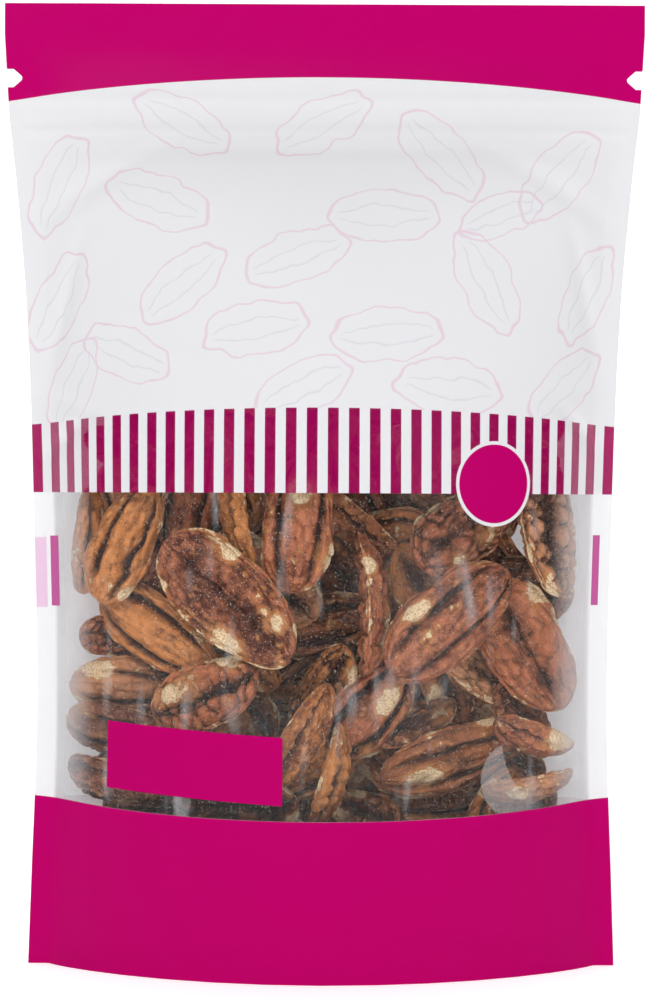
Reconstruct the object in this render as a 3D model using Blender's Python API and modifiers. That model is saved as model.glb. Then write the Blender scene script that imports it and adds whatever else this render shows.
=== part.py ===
"""A stand-up pouch of pecan halves, sealed and standing on its bottom gusset.

Run it with blender --background --python part.py, or from Blender's text editor. Units are metres, with
+Z up. The front panel faces -Y. The origin is the middle of the base, on the surface that carries the pouch.
"""

import itertools
import math

import bmesh
import bpy
import numpy as np
from mathutils import Matrix, Vector
from mathutils.bvhtree import BVHTree

MM = 0.001

# Film and seals
FILM = 0.3 * MM
GAP = 0.3 * MM  # kept between pieces that touch
SIDE_SEAL = 5.0 * MM
FULLNESS = 0.85  # below 1 the pouch's cross-section is fuller than a parabola

# The filled pouch at some heights, in mm: height, width, bulge of one panel, squareness of its cross-section
STATIONS = (
    (0.0, 132.6, 25.0, 2.0),
    (24.0, 131.0, 27.0, 2.0),
    (50.0, 129.2, 27.6, 2.0),
    (78.0, 129.4, 27.4, 2.0),
    (105.0, 131.0, 26.4, 2.0),
    (128.0, 132.4, 24.6, 2.0),
    (150.0, 134.6, 21.0, 2.2),
    (170.0, 138.0, 14.5, 3.0),
    (182.0, 140.4, 7.6, 5.0),
    (188.0, 141.8, 3.0, 10.0),
    (192.0, 142.8, 1.9, 10.0),
    (197.0, 144.0, 1.9, 10.0),
    (203.0, 145.0, 0.0, 10.0),
    (217.5, 145.0, 0.0, 10.0),
)
ROW_HEIGHTS = (
    *(0, 4, 12, 24, 38, 52, 66, 80, 94, 108, 122, 136),
    *(150, 161, 171, 179, 185, 189, 193, 197, 200, 203, 210, 217.5),
)
COLUMNS = 18

# Tear notches
NOTCH_HEIGHT = 201.0 * MM
NOTCH_RADIUS = 2.5 * MM
NOTCH_INSET = 1.5 * MM
NOTCH_REACH = 10.0 * MM

# Press-to-close zip. Outlines are (depth, height) in mm about the zip's middle
ZIP_HEIGHT = 192.0 * MM
ZIP_LENGTH = 112.0 * MM  # it ends short of the side seals
SOCKET_OUTLINE = (
    *((-1.35, -5.0), (-0.95, -5.0), (-0.95, -1.7), (0.65, -1.7)),
    *((0.65, -0.5), (0.25, -0.5), (0.25, -1.1), (-0.95, -1.1)),
    *((-0.95, 1.1), (0.25, 1.1), (0.25, 0.5), (0.65, 0.5)),
    *((0.65, 1.7), (-0.95, 1.7), (-0.95, 5.0), (-1.35, 5.0)),
)
RIB_OUTLINE = (
    *((1.35, -5.0), (1.35, 5.0), (0.95, 5.0), (0.95, 0.2)),
    *((-0.05, 0.2), (-0.05, 0.8), (-0.65, 0.8), (-0.65, -0.8)),
    *((-0.05, -0.8), (-0.05, -0.2), (0.95, -0.2), (0.95, -5.0)),
)

# Bottom gusset
GUSSET_LEG = 4.2 * MM  # height of its seal to the panels
GUSSET_RIDGE = 26.0 * MM  # how high its fold stands at the side seals
GUSSET_FLAT = 36.0 * MM  # the fold lies flat this far from the middle
GUSSET_SAG = 0.35  # share of its depth that touches the ground

# Pecan halves
THICKNESS_SHARE = 0.53  # of its width
BEND_SHARE = 0.05  # how far its ends curve towards the cut side, as a share of its length
TAPER = 0.12
AROUND, ALONG = 12, 7
CLEARANCE = 0.3 * MM
STEP = 1.0 * MM
NUDGE = 0.8 * MM
NUDGES = 70
LEANS = (0.8, 0.0, -0.8)  # a half follows the slope of the front panel, neither, or that of the back panel

# The halves that show, front layer first: across, up, turn in the window's plane, roll about the length
# (0 shows the back, 180 the cut side), length, width. Millimetres and degrees.
SHOWN = (
    (-44.5, 95.0, 62, 15, 30, 16),
    (-20.5, 83.0, -42, 180, 39, 22),
    (28.0, 79.0, 40, -10, 36, 19.5),
    (9.5, 82.0, 92, 88, 33, 18),
    (48.5, 71.5, -62, 172, 33, 21),
    (-5.0, 100.0, 84, 4, 32, 17.5),
    (-5.0, 53.0, 57, 55, 28, 15),
    (1.5, 44.0, 75, 70, 24, 14),
    (-25.5, 62.0, 22, 165, 27, 18),
    (-37.5, 75.5, -32, 0, 34, 17),
    (11.0, 58.0, 50, 0, 27, 17),
    (6.0, 101.5, -40, 65, 28, 16),
    (47.5, 96.5, -80, 170, 31, 18),
    (31.5, 99.0, 35, 165, 28, 18),
    (49.5, 52.5, -20, 60, 22, 12),
    (28.0, 59.0, -25, 150, 31, 17),
    (27.0, 47.0, 16, 10, 37, 16.5),
    (-44.0, 65.0, -4, 10, 31, 15),
    (-18.5, 101.5, -80, 60, 27, 14),
    (40.5, 93.0, -47, 60, 22, 13),
    (43.5, 57.0, 62, 75, 24, 13),
    (-40.0, 54.5, -14, 20, 25, 14),
    (-46.0, 44.0, -10, 30, 25, 13),
    (49.0, 43.0, 6, 65, 24, 14),
    (30.0, 38.0, 8, 0, 30, 15),
    (-45.0, 78.0, -12, 0, 26, 13),
    (6.0, 62.0, 58, 90, 26, 14),
    (-19.0, 38.0, -6, 180, 30, 17),
    (-33.0, 39.0, 8, 0, 30, 16),
    (21.5, 94.0, 45, 0, 28, 16),
    (34.5, 68.0, -40, 150, 26, 15),
    (52.0, 84.0, 80, 80, 21, 11),
    (0.0, 77.0, 10, 0, 28, 16),
    (-53.0, 90.0, 85, 75, 25, 12),
    (-30.0, 105.0, 75, 0, 28, 15),
    (18.0, 107.0, -10, 0, 30, 17),
    (-12.5, 68.5, 30, 0, 30, 16),
    (-38.0, 112.0, 20, 0, 29, 16),
    (-12.0, 116.0, -15, 180, 30, 17),
    (40.0, 112.0, 12, 0, 29, 16),
)

# The halves that don't show: a golden-angle spread of spots, low ones first, until the pouch holds HALVES
HALVES = 55
LOW_HEIGHTS = (14.0, 36.0)
HIGH_HEIGHTS = (40.0, 108.0)
LOW_SPOTS, HIGH_SPOTS = 26, 60
SPREAD = 92.0
HIDDEN_SIZES = ((28.0, 15.0), (32.0, 17.0), (30.0, 16.0))
GOLDEN_ANGLE = math.pi * (3.0 - math.sqrt(5.0))
GOLDEN_SHARE = (math.sqrt(5.0) - 1.0) / 2.0
ROOT_SHARE = math.sqrt(2.0) - 1.0


def clear_scene():
    for obj in list(bpy.data.objects):
        bpy.data.objects.remove(obj)


def new_collection(name):
    collection = bpy.data.collections.new(name)
    bpy.context.scene.collection.children.link(collection)
    return collection


def new_material(name, colour, roughness, alpha=1.0):
    material = bpy.data.materials.new(name)
    material.use_nodes = True
    shader = material.node_tree.nodes["Principled BSDF"]
    shader.inputs["Base Color"].default_value = (*colour, 1.0)
    shader.inputs["Roughness"].default_value = roughness
    shader.inputs["Metallic"].default_value = 0.0
    shader.inputs["Alpha"].default_value = alpha
    return material


def add_object(name, data, material, collection):
    data.materials.append(material)
    obj = bpy.data.objects.new(name, data)
    collection.objects.link(obj)
    return obj


def station(height):
    """Half width, bulge and squareness of the pouch at some heights: a smooth curve through STATIONS."""
    table = np.array(STATIONS)
    places, values = table[:, 0] * MM, table[:, 1:]
    slopes = np.gradient(values, places, axis=0)
    flat = np.diff(values, axis=0) == 0  # no overshoot beside a level stretch
    slopes[:-1][flat] = 0.0
    slopes[1:][flat] = 0.0
    height = np.clip(height, places[0], places[-1])
    i = np.clip(np.searchsorted(places, height, side="right") - 1, 0, len(places) - 2)
    span = places[i + 1] - places[i]
    t = ((height - places[i]) / span)[..., None]
    span = span[..., None]
    smooth = (
        (1 + 2 * t) * (1 - t) ** 2 * values[i]
        + t * (1 - t) ** 2 * span * slopes[i]
        + t * t * (3 - 2 * t) * values[i + 1]
        + t * t * (t - 1) * span * slopes[i + 1]
    )
    return smooth[..., 0] / 2 * MM, np.maximum(smooth[..., 1], 0.0) * MM, smooth[..., 2]


def depth(across, height):
    """How far the inner face of a panel stands from the pouch's middle plane."""
    half_width, bulge, squareness = station(height)
    share = np.clip(np.abs(across) / (half_width - SIDE_SEAL), 0.0, 1.0)
    return GAP / 2 + bulge * (1 - share**squareness) ** FULLNESS


def grid(columns, rows):
    """A flat grid of quads, with its column and row numbers for each vertex."""
    mesh = bmesh.new()
    bmesh.ops.create_grid(mesh, x_segments=columns, y_segments=rows, size=1.0)
    mesh.verts.ensure_lookup_table()
    places = np.array([v.co for v in mesh.verts])
    column = np.rint((places[:, 0] + 1) / 2 * columns).astype(int)
    row = np.rint((places[:, 1] + 1) / 2 * rows).astype(int)
    return mesh, column, row


def mesh_at(name, mesh, places):
    """The mesh with its vertices moved to places."""
    for vertex, place in zip(mesh.verts, places):
        vertex.co = place
    data = bpy.data.meshes.new(name)
    mesh.to_mesh(data)
    mesh.free()
    return data


def give_thickness(obj):
    """The film lies on the side that the faces point to."""
    solid = obj.modifiers.new("film_thickness", "SOLIDIFY")
    solid.thickness = FILM
    solid.offset = 1.0
    solid.use_even_offset = True


def make_panel(name, side, material, collection):
    """One panel of film. side is -1 for the front and 1 for the back."""
    heights = np.array(ROW_HEIGHTS) * MM
    mesh, column, row = grid(COLUMNS, len(heights) - 1)
    height = heights[row]
    half_width = station(height)[0]
    inner = half_width - SIDE_SEAL
    turn = (column - 1) / (COLUMNS - 2) * math.pi  # columns lie closer where the film bends most
    across = -inner * np.cos(np.clip(turn, 0.0, math.pi))
    across = np.where(column == 0, -half_width, np.where(column == COLUMNS, half_width, across))
    places = np.stack([across, side * depth(across, height), height], axis=1)
    if side > 0:
        bmesh.ops.reverse_faces(mesh, faces=mesh.faces)
    obj = add_object(name, mesh_at(name, mesh, places), material, collection)
    give_thickness(obj)
    return obj


def make_notch_cutter(side, collection):
    """A hexagonal bar that stands across the side seal, with one of its corners pointing inwards."""
    mesh = bmesh.new()
    turn = Matrix.Rotation(math.radians(90), 4, "X") @ Matrix.Rotation(math.radians(30), 4, "Z")
    size = {"radius1": NOTCH_RADIUS, "radius2": NOTCH_RADIUS, "depth": NOTCH_REACH}
    bmesh.ops.create_cone(mesh, cap_ends=True, segments=6, matrix=turn, **size)
    data = bpy.data.meshes.new("notch_cutter")
    mesh.to_mesh(data)
    mesh.free()
    cutter = bpy.data.objects.new("notch_cutter", data)
    half_width = float(station(np.array(NOTCH_HEIGHT))[0])
    cutter.location = (side * (half_width - NOTCH_INSET), 0.0, NOTCH_HEIGHT)
    cutter.hide_render = True
    cutter.display_type = "WIRE"
    collection.objects.link(cutter)
    return cutter


def cut_notches(panel, cutters):
    for cutter in cutters:
        cut = panel.modifiers.new("tear_notch", "BOOLEAN")
        cut.operation = "DIFFERENCE"
        cut.object = cutter


def make_zip_track(name, outline, material, collection):
    """A strip with the zip's profile: a flat outline, extruded along the pouch's width."""
    curve = bpy.data.curves.new(name, "CURVE")
    curve.dimensions = "2D"
    curve.fill_mode = "BOTH"
    curve.extrude = ZIP_LENGTH / 2
    spline = curve.splines.new("POLY")
    spline.points.add(len(outline) - 1)
    for point, (deep, up) in zip(spline.points, outline):
        point.co = (deep * MM, up * MM, 0.0, 1.0)
    spline.use_cyclic_u = True
    track = add_object(name, curve, material, collection)
    track.matrix_world = Matrix(((0, 0, 1, 0), (1, 0, 0, 0), (0, 1, 0, ZIP_HEIGHT), (0, 0, 0, 1)))
    return track


def gusset_height(across, share):
    """Height of the gusset: flat on the ground in the middle, folded up to a ridge at the side seals."""
    sag = np.clip((share - GUSSET_SAG) / (1 - GUSSET_SAG), 0.0, 1.0)
    inner = float(station(np.array(0.0))[0]) - SIDE_SEAL
    lift = np.clip((np.abs(across) - GUSSET_FLAT) / (inner - GUSSET_FLAT), 0.0, 1.0)
    return GUSSET_LEG * sag * sag * (3 - 2 * sag) + GUSSET_RIDGE * lift * lift * (1 - share)


def make_gusset(material, collection):
    """The base film. Its two legs lie against the panels, and the film between them carries the halves."""
    rows = 10
    mesh, column, row = grid(COLUMNS - 4, rows)
    inner = float(station(np.array(0.0))[0]) - SIDE_SEAL
    # Its columns are the panels' own, short of the seals
    across = -inner * np.cos((column + 1) / (COLUMNS - 2) * math.pi)
    way = (row - rows / 2) / (rows / 2)  # -1 is the front leg's foot, and 1 is the back leg's
    leg = np.abs(way) > 0.81
    share = np.clip(np.abs(way) / 0.8, 0.0, 1.0)
    height = np.where(leg, GAP, gusset_height(across, share))
    reach = np.maximum(depth(across, height) - GAP - FILM, GAP)
    places = np.stack([across, np.sign(way) * share * reach, height], axis=1)
    obj = add_object("bottom_gusset", mesh_at("bottom_gusset", mesh, places), material, collection)
    give_thickness(obj)
    return obj


def half_places(sphere, length, width, thickness):
    """Moves the points of a unit sphere, whose poles are on X, to the surface of a pecan half.

    X runs to its tip, Y across it and Z out of its rounded back.
    """
    along, side, up = sphere.T
    round_part = np.sqrt(np.maximum(1 - along**2, 1e-9))
    cosine, sine = up / round_part, side / round_part
    turn = np.abs(np.arctan2(sine, cosine))
    outline = np.sqrt(np.maximum(1 - np.abs(along) ** 2.6, 0.0)) * (1 - TAPER * along)
    grooves = 0.13 * np.exp(-(((turn - math.radians(30)) / math.radians(14)) ** 2))
    channel = 0.12 * np.exp(-(((math.pi - turn) / math.radians(25)) ** 2))
    rise = np.where(cosine > 0, 0.70, 0.30) * cosine - grooves + channel
    return np.stack(
        [
            along * length / 2,
            outline * sine * width / 2,
            outline * rise * thickness - BEND_SHARE * length * along**2,
        ],
        axis=1,
    )


def unit_sphere():
    """A UV sphere with its poles on X, as a bmesh and as an array of points."""
    mesh = bmesh.new()
    bmesh.ops.create_uvsphere(mesh, u_segments=AROUND, v_segments=ALONG, radius=1.0)
    for vertex in mesh.verts:
        vertex.co = vertex.co.zxy
    return mesh, np.array([v.co for v in mesh.verts])


def film_slope(across, height):
    """The angle by which the front panel turns away from the middle plane there."""
    step = MM
    places = np.array([across - step, across + step])
    near, far = depth(places, np.array([height, height]))
    return math.atan2(far - near, 2 * step)


def facing(across, height, turn, roll, lean):
    """Turns a half to face the front. lean is 1 along the front panel and -1 along the back panel."""
    base = Matrix(((1, 0, 0), (0, 0, -1), (0, 1, 0)))
    spin = Matrix.Rotation(math.radians(-turn), 3, "Y")
    roll = Matrix.Rotation(math.radians(roll), 3, "X")
    follow = Matrix.Rotation(-lean * film_slope(across, height), 3, "Z")
    return follow @ spin @ roll @ base


def blocked(points, faces, placed):
    """True if these faces cross a half that is already in place."""
    centre = points.mean(axis=0)
    tree = None
    for other, other_centre, reach in placed:
        if np.linalg.norm(centre - other_centre) > reach + 0.022:
            continue
        tree = tree or BVHTree.FromPolygons([Vector(p) for p in points], faces)
        if tree.overlap(other):
            return True
    return False


def slide_forward(points, faces, placed):
    """How far along Y these points go for the half to lie as far forward as film and neighbours let it.

    None where it doesn't fit in the pouch.
    """
    room = depth(points[:, 0], points[:, 2]) - GAP
    forward = float(np.max(-room - points[:, 1]))
    back = float(np.min(room - points[:, 1]))
    if forward > back or blocked(points + [0.0, back, 0.0], faces, placed):
        return None
    free, stop = back, None
    while free > forward:
        step = max(free - STEP, forward)
        if blocked(points + [0.0, step, 0.0], faces, placed):
            stop = step
            break
        free = step
    if stop is not None:
        for _ in range(5):
            middle = (free + stop) / 2
            if blocked(points + [0.0, middle, 0.0], faces, placed):
                stop = middle
            else:
                free = middle
    return free


def above_gusset(points):
    reach = depth(points[:, 0], np.full(len(points), GUSSET_LEG))
    share = np.clip(np.abs(points[:, 1]) / reach, 0.0, 1.0)
    return bool(np.all(points[:, 2] > gusset_height(points[:, 0], share) + FILM + 2 * GAP))


def place_half(spot, placed):
    """Finds the place of a half, trying spots round the wanted one until it fits. None if none does."""
    across, height, turn, roll, length, width = spot
    sizes = np.array([length, width, width * THICKNESS_SHARE]) * MM
    mesh, sphere = unit_sphere()
    faces = [[v.index for v in face.verts] for face in mesh.faces]
    true_shape = half_places(sphere, *sizes)
    grown = half_places(sphere, *(sizes + 2 * CLEARANCE))
    for nudge, lean in itertools.product(range(NUDGES), LEANS):
        reach, way = NUDGE * math.sqrt(nudge), nudge * GOLDEN_ANGLE
        x = across * MM + reach * math.cos(way)
        z = height * MM + reach * math.sin(way)
        turned = np.array(facing(x, z, turn, roll, lean))
        centre = np.array([x, 0.0, z])
        points = grown @ turned.T + centre
        shift = slide_forward(points, faces, placed)
        if shift is not None and above_gusset(points + [0.0, shift, 0.0]):
            return mesh, faces, true_shape @ turned.T + centre + [0.0, shift, 0.0]
    mesh.free()
    return None


def hidden_spots():
    """Spots for the halves that lie low or behind the others. Those that find no room are left out."""
    for i in range(LOW_SPOTS + HIGH_SPOTS):
        low, high = LOW_HEIGHTS if i < LOW_SPOTS else HIGH_HEIGHTS
        count, first = (LOW_SPOTS, 0) if i < LOW_SPOTS else (HIGH_SPOTS, LOW_SPOTS)
        height = low + (high - low) * (i - first + 0.5) / count
        across = SPREAD * ((i * GOLDEN_SHARE) % 1.0 - 0.5)
        turn = 60.0 * ((i * ROOT_SHARE) % 1.0) - 30.0
        yield (across, height, turn, 180.0 * (i % 2), *HIDDEN_SIZES[i % len(HIDDEN_SIZES)])


def make_halves(materials, collection):
    placed = []
    for spot in [*SHOWN, *hidden_spots()]:
        if len(placed) == HALVES:
            break
        found = place_half(spot, placed)
        if found is None:
            continue
        mesh, faces, points = found
        centre = points.mean(axis=0)
        tree = BVHTree.FromPolygons([Vector(p) for p in points], faces)
        placed.append((tree, centre, float(np.max(np.linalg.norm(points - centre, axis=1)))))
        name = f"pecan_half_{len(placed):02d}"
        data = mesh_at(name, mesh, points - centre)
        data.shade_smooth()
        half = add_object(name, data, materials[len(placed) % len(materials)], collection)
        half.location = centre
    print(len(placed), "halves fit in the pouch")


def main():
    clear_scene()
    pouch = new_collection("pouch_of_pecans")
    cutters = new_collection("cutters")
    front_film = new_material("clear_printed_film", (0.90, 0.88, 0.90), 0.25, 0.4)
    back_film = new_material("white_film", (0.86, 0.86, 0.88), 0.35)
    base_film = new_material("magenta_film", (0.52, 0.0, 0.14), 0.35)
    zip_plastic = new_material("zip_plastic", (0.85, 0.86, 0.88), 0.4)
    skins = [
        new_material("pecan_skin_orange", (0.36, 0.15, 0.05), 0.6),
        new_material("pecan_skin_red", (0.27, 0.10, 0.05), 0.6),
    ]
    front = make_panel("front_panel", -1, front_film, pouch)
    back = make_panel("back_panel", 1, back_film, pouch)
    notch_cutters = [make_notch_cutter(side, cutters) for side in (-1, 1)]
    cut_notches(front, notch_cutters)
    cut_notches(back, notch_cutters)
    make_gusset(base_film, pouch)
    make_zip_track("zip_socket_strip", SOCKET_OUTLINE, zip_plastic, pouch)
    make_zip_track("zip_rib_strip", RIB_OUTLINE, zip_plastic, pouch)
    make_halves(skins, pouch)


main()
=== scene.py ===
# %% [markdown]
# # A stand-up pouch of pecan halves
#
# This lesson dresses a finished construction model. The model is a pouch of printed film that stands on a
# folded base, with a zip under its top seal and shelled pecan halves inside. Each step makes one kind of
# piece or one finish, says how it could be made, and why it is made the way it is.
#
# Sizes are in metres and +Z is up. The printed front faces -Y. Colours are written as web colours, because
# printers and designers give them that way, and a helper turns them into the linear numbers that shaders
# use.

# %% Load the construction model
import math
import random

import bmesh
import bpy
import numpy as np
from mathutils import Matrix, Vector, noise
from mathutils.bvhtree import BVHTree


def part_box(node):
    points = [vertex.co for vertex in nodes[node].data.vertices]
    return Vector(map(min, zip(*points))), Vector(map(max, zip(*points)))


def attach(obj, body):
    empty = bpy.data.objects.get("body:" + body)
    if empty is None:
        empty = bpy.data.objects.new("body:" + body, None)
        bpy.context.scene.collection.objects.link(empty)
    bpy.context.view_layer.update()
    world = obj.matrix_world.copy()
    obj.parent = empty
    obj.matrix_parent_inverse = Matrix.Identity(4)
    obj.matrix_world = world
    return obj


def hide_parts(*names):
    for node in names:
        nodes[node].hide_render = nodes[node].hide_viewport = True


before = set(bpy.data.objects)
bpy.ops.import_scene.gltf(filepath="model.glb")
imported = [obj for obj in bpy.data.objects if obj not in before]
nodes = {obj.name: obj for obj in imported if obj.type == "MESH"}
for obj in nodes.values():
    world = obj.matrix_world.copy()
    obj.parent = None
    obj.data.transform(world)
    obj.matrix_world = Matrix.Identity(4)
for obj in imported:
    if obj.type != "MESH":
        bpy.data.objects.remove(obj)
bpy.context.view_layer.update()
MM = 0.001
print("the construction model has", len(nodes), "nodes")

# %% [markdown]
# The camera comes first, so that every later step can be judged through it. The pouch was seen from
# straight in front with a lens of moderate length, half way up its height. A longer lens would flatten the
# bulge of the front, and a shorter one would widen it.

# %% Set up the camera
CAMERA_DISTANCE = 0.56
CAMERA_HEIGHT = 0.1052
CAMERA_ROLL = 0.25  # degrees: the pouch was seen leaning a hair to the right
camera_data = bpy.data.cameras.new("camera")
camera_data.lens = 88.95
camera = bpy.data.objects.new("camera", camera_data)
camera.location = (0.0014, -CAMERA_DISTANCE, CAMERA_HEIGHT)
camera.rotation_euler = (math.radians(90.0), math.radians(-CAMERA_ROLL), 0.0)
bpy.context.scene.collection.objects.link(camera)
bpy.context.scene.camera = camera
bpy.context.scene.view_settings.view_transform = "Standard"
print("the camera stands", CAMERA_DISTANCE, "m in front of the pouch")

# %% [markdown]
# A few small helpers keep the rest short. A node tree is mostly arithmetic, so a Wire stands for a value
# inside a tree, and plain arithmetic on it makes Math nodes. A mask is a wire from 0 to 1. Other helpers
# mix two colours by a mask, give a soft step between two values, and put a mesh into the scene.


# %% Helpers for colours, shader nodes and objects
def web(code):
    """A web colour such as c0026b as linear numbers."""
    shares = [int(code[i : i + 2], 16) / 255 for i in (0, 2, 4)]
    linear = [s / 12.92 if s <= 0.04045 else ((s + 0.055) / 1.055) ** 2.4 for s in shares]
    return (*linear, 1.0)


class Wire:
    """A value inside a node tree. Arithmetic on it makes Math nodes."""

    def __init__(self, tree, socket):
        self.tree, self.socket = tree, socket

    __add__ = lambda self, other: calc("ADD", self, other)
    __sub__ = lambda self, other: calc("SUBTRACT", self, other)
    __rsub__ = lambda self, other: calc("SUBTRACT", other, self)
    __mul__ = lambda self, other: calc("MULTIPLY", self, other)
    __truediv__ = lambda self, other: calc("DIVIDE", self, other)
    __rtruediv__ = lambda self, other: calc("DIVIDE", other, self)
    __lt__ = lambda self, other: calc("LESS_THAN", self, other)
    __gt__ = lambda self, other: calc("GREATER_THAN", self, other)
    __abs__ = lambda self: calc("ABSOLUTE", self)


def feed(socket, value):
    """Links a wire to a socket, or sets a plain value."""
    if isinstance(value, Wire):
        value.tree.links.new(value.socket, socket)
    else:
        socket.default_value = value


def add_node(tree, kind, **settings):
    """A node with some of its properties set."""
    node = tree.nodes.new(kind)
    for name, value in settings.items():
        setattr(node, name, value)
    return node


def fed_node(tree, kind, values, output=0, **settings):
    """A node with its inputs fed, by name or by number, as the wire of one of its outputs."""
    node = add_node(tree, kind, **settings)
    for name, value in values.items():
        feed(node.inputs[name], value)
    return Wire(tree, node.outputs[output])


def calc(operation, *values, clamp=False):
    """A Math node on wires and plain numbers."""
    tree = next(value.tree for value in values if isinstance(value, Wire))
    return fed_node(tree, "ShaderNodeMath", dict(enumerate(values)), operation=operation, use_clamp=clamp)


def most(*masks):
    """The union of masks: the largest of them."""
    total = masks[0]
    for mask in masks[1:]:
        total = calc("MAXIMUM", total, mask)
    return total


def without(mask, other):
    return calc("SUBTRACT", mask, other, clamp=True)


def soft_step(value, low, high, start=0.0, end=1.0):
    """Goes smoothly from start to end as the value goes from low to high."""
    names = ("Value", "From Min", "From Max", "To Min", "To Max")
    values = dict(zip(names, (value, low, high, start, end)))
    return fed_node(value.tree, "ShaderNodeMapRange", values, "Result", interpolation_type="SMOOTHSTEP")


def mix(mask, first, second):
    """Goes from the first colour to the second by a mask."""
    return fed_node(mask.tree, "ShaderNodeMix", {0: mask, 6: first, 7: second}, 2, data_type="RGBA")


def noise_at(place, scale, detail=2.0, roughness=0.5):
    values = {"Vector": place, "Scale": scale, "Detail": detail, "Roughness": roughness}
    return fed_node(place.tree, "ShaderNodeTexNoise", values, "Fac")


def scaled(place, scale):
    """A place with each direction scaled, so that a noise at it is drawn out."""
    return fed_node(place.tree, "ShaderNodeMapping", {"Vector": place, "Scale": scale})


def bump(height, strength, distance):
    values = {"Height": height, "Strength": strength, "Distance": distance}
    return fed_node(height.tree, "ShaderNodeBump", values, "Normal")


def object_place(tree):
    return fed_node(tree, "ShaderNodeTexCoord", {}, "Object")


def attribute(tree, name, output="Fac"):
    return fed_node(tree, "ShaderNodeAttribute", {}, output, attribute_name=name)


def new_group(name, inputs, outputs):
    """A shader node group: its inputs as wires, and its output sockets.

    inputs gives each input's plain number, or its kind. outputs gives each output's kind."""
    tree = bpy.data.node_groups.new(name, "ShaderNodeTree")
    for label, value in inputs.items():
        kind = value if isinstance(value, str) else "Float"
        socket = tree.interface.new_socket(name=label, in_out="INPUT", socket_type="NodeSocket" + kind)
        if kind == "Float":
            socket.default_value = value
    for label, kind in outputs.items():
        tree.interface.new_socket(name=label, in_out="OUTPUT", socket_type="NodeSocket" + kind)
    sockets = tree.nodes.new("NodeGroupInput").outputs
    given = {label: Wire(tree, sockets[label]) for label in inputs}
    return tree, given, tree.nodes.new("NodeGroupOutput").inputs


def use_group(tree, group, values):
    """Places a group in a tree, and hands back its outputs by name."""
    node = fed_node(tree, "ShaderNodeGroup", values, node_tree=group).socket.node
    return {socket.name: Wire(tree, socket) for socket in node.outputs}


def new_material(name, look):
    """A material, its tree and its Principled shader. look gives plain values for the shader's sockets."""
    material = bpy.data.materials.new(name)
    material.use_nodes = True
    shader = material.node_tree.nodes["Principled BSDF"]
    for label, value in look.items():
        shader.inputs[label].default_value = value
    return material, material.node_tree, shader


def mix_shaders(tree, share, first, second):
    return fed_node(tree, "ShaderNodeMixShader", {0: share, 1: first, 2: second})


def surface(tree):
    """The socket that a material's finished shader goes into."""
    return tree.nodes["Material Output"].inputs["Surface"]


def add_object(name, data):
    obj = bpy.data.objects.new(name, data)
    bpy.context.scene.collection.objects.link(obj)
    return obj


def mesh_object(name, mesh):
    """Turns a bmesh into a smooth object, and frees it."""
    data = bpy.data.meshes.new(name)
    mesh.to_mesh(data)
    mesh.free()
    data.shade_smooth()
    return add_object(name, data)


print("helpers are ready")

# %% [markdown]
# ## The shape of the film
#
# A filled pouch is two flat films that can bend but not stretch. Cloth simulation could blow it up, but the
# construction model already holds its true bulge, in a coarse form. So the shape is measured from there:
# rays are shot at each film node on a fine net of places, the facets are smoothed away, and every row is
# then walked along its curve, so that the net's columns are evenly spaced on the flat film. That last step
# matters for the print, which was laid on flat film: its stripes look narrower where the film turns away at
# the sides.

# %% Measure a film node
FLAT_WIDTH = 145.0 * MM
COLUMNS, ROWS = 150, 224
SMOOTHING_ROUNDS = 60
JUST_INSIDE = 0.997  # rays start this share of the way out, so that they don't miss the film's edge
SEALED_DEPTH = 0.45 * MM  # from the middle of the pouch, where a ray misses in a notch
NOTCH_FROM, NOTCH_TO = 195 * MM, 207 * MM  # the heights between which the tear notch is looked for


def merged_tree(node):
    mesh = bmesh.new()
    mesh.from_mesh(nodes[node].data)
    bmesh.ops.remove_doubles(mesh, verts=mesh.verts, dist=1e-6)
    tree = BVHTree.FromBMesh(mesh)
    mesh.free()
    return tree


def edge_at(tree, height):
    """Where a ray from the side meets the front's side seal: half the pouch's width at that height."""
    hit = tree.ray_cast(Vector((0.1, -0.3 * MM, height)), Vector((-1.0, 0.0, 0.0)))[0]
    return hit.x if hit else np.nan


def smooth(values, rounds):
    """Evens out a grid of numbers, and keeps its border."""
    for _ in range(rounds):
        inner = values[1:-1, 1:-1]
        around = values[:-2, 1:-1] + values[2:, 1:-1] + values[1:-1, :-2] + values[1:-1, 2:]
        values[1:-1, 1:-1] = 0.5 * inner + 0.125 * around
    return values


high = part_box("front_panel")[1]
heights = np.linspace(0.05 * MM, high.z - 0.02 * MM, ROWS + 1)
front_tree = merged_tree("front_panel")
edges = np.array([edge_at(front_tree, z) for z in heights])
notch = (heights > NOTCH_FROM) & (heights < NOTCH_TO)
marks = np.flatnonzero(~notch)[::6]
outline = np.interp(heights, heights[marks], edges[marks])
notch_rows = notch & (edges < outline - 1 * MM)
notch_height = float(heights[notch_rows].mean())
notch_depth = float((outline - edges)[notch_rows].max())
foot_width, top_width = (round(2 * half / MM, 1) for half in (outline[0], outline[-1]))
print("the film is", foot_width, "mm wide at its foot and", top_width, "at its top")
print("a tear notch is", round(notch_depth / MM, 1), "mm deep and", round(notch_height / MM, 1), "mm up")

# %% [markdown]
# The net of one film is then laid out row by row. The film lies on its node's outer side, and its thickness
# will go inwards from there, so the finished pouch is exactly as big as the construction model.

# %% Lay out the net of one film


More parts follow.
